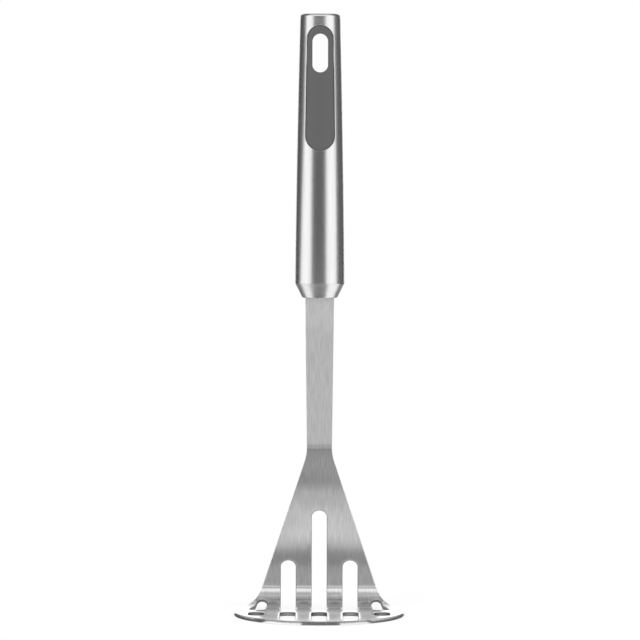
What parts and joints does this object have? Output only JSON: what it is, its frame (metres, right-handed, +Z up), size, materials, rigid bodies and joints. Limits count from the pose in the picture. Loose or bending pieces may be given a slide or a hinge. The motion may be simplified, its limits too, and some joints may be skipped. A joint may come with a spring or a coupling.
{
  "type": "potato masher",
  "caption": "Potato masher: a slotted round disc folded up into a leaning slotted blade and a narrow neck, on a hollow tapered round handle with a grey insert and a hanging slot.",
  "frame": {"origin": "middle of the round disc's underside, where the part rests, on the handle's axis", "axes": "+Z up along the handle, -Y to the front where the insert is, +Y to the rear where the disc folds up into the blade, +X to the right seen from the front"},
  "size_m": [0.08, 0.0683, 0.2825],
  "materials": {
    "stainless_sheet": "stamped stainless sheet, fine brush lines along neck and blade, near-mirror disc",
    "stainless_tube": "satin stainless steel, finely brushed along the handle",
    "grey_plastic": "matte mid-grey moulded plastic"
  },
  "bodies": {
    "root": {"masher_head": "stainless_sheet", "handle_tube": "stainless_tube", "top_cap": "stainless_tube", "end_cone": "stainless_tube", "grip_insert": "grey_plastic", "rear_ring": "grey_plastic"}
  },
  "joints": []
}
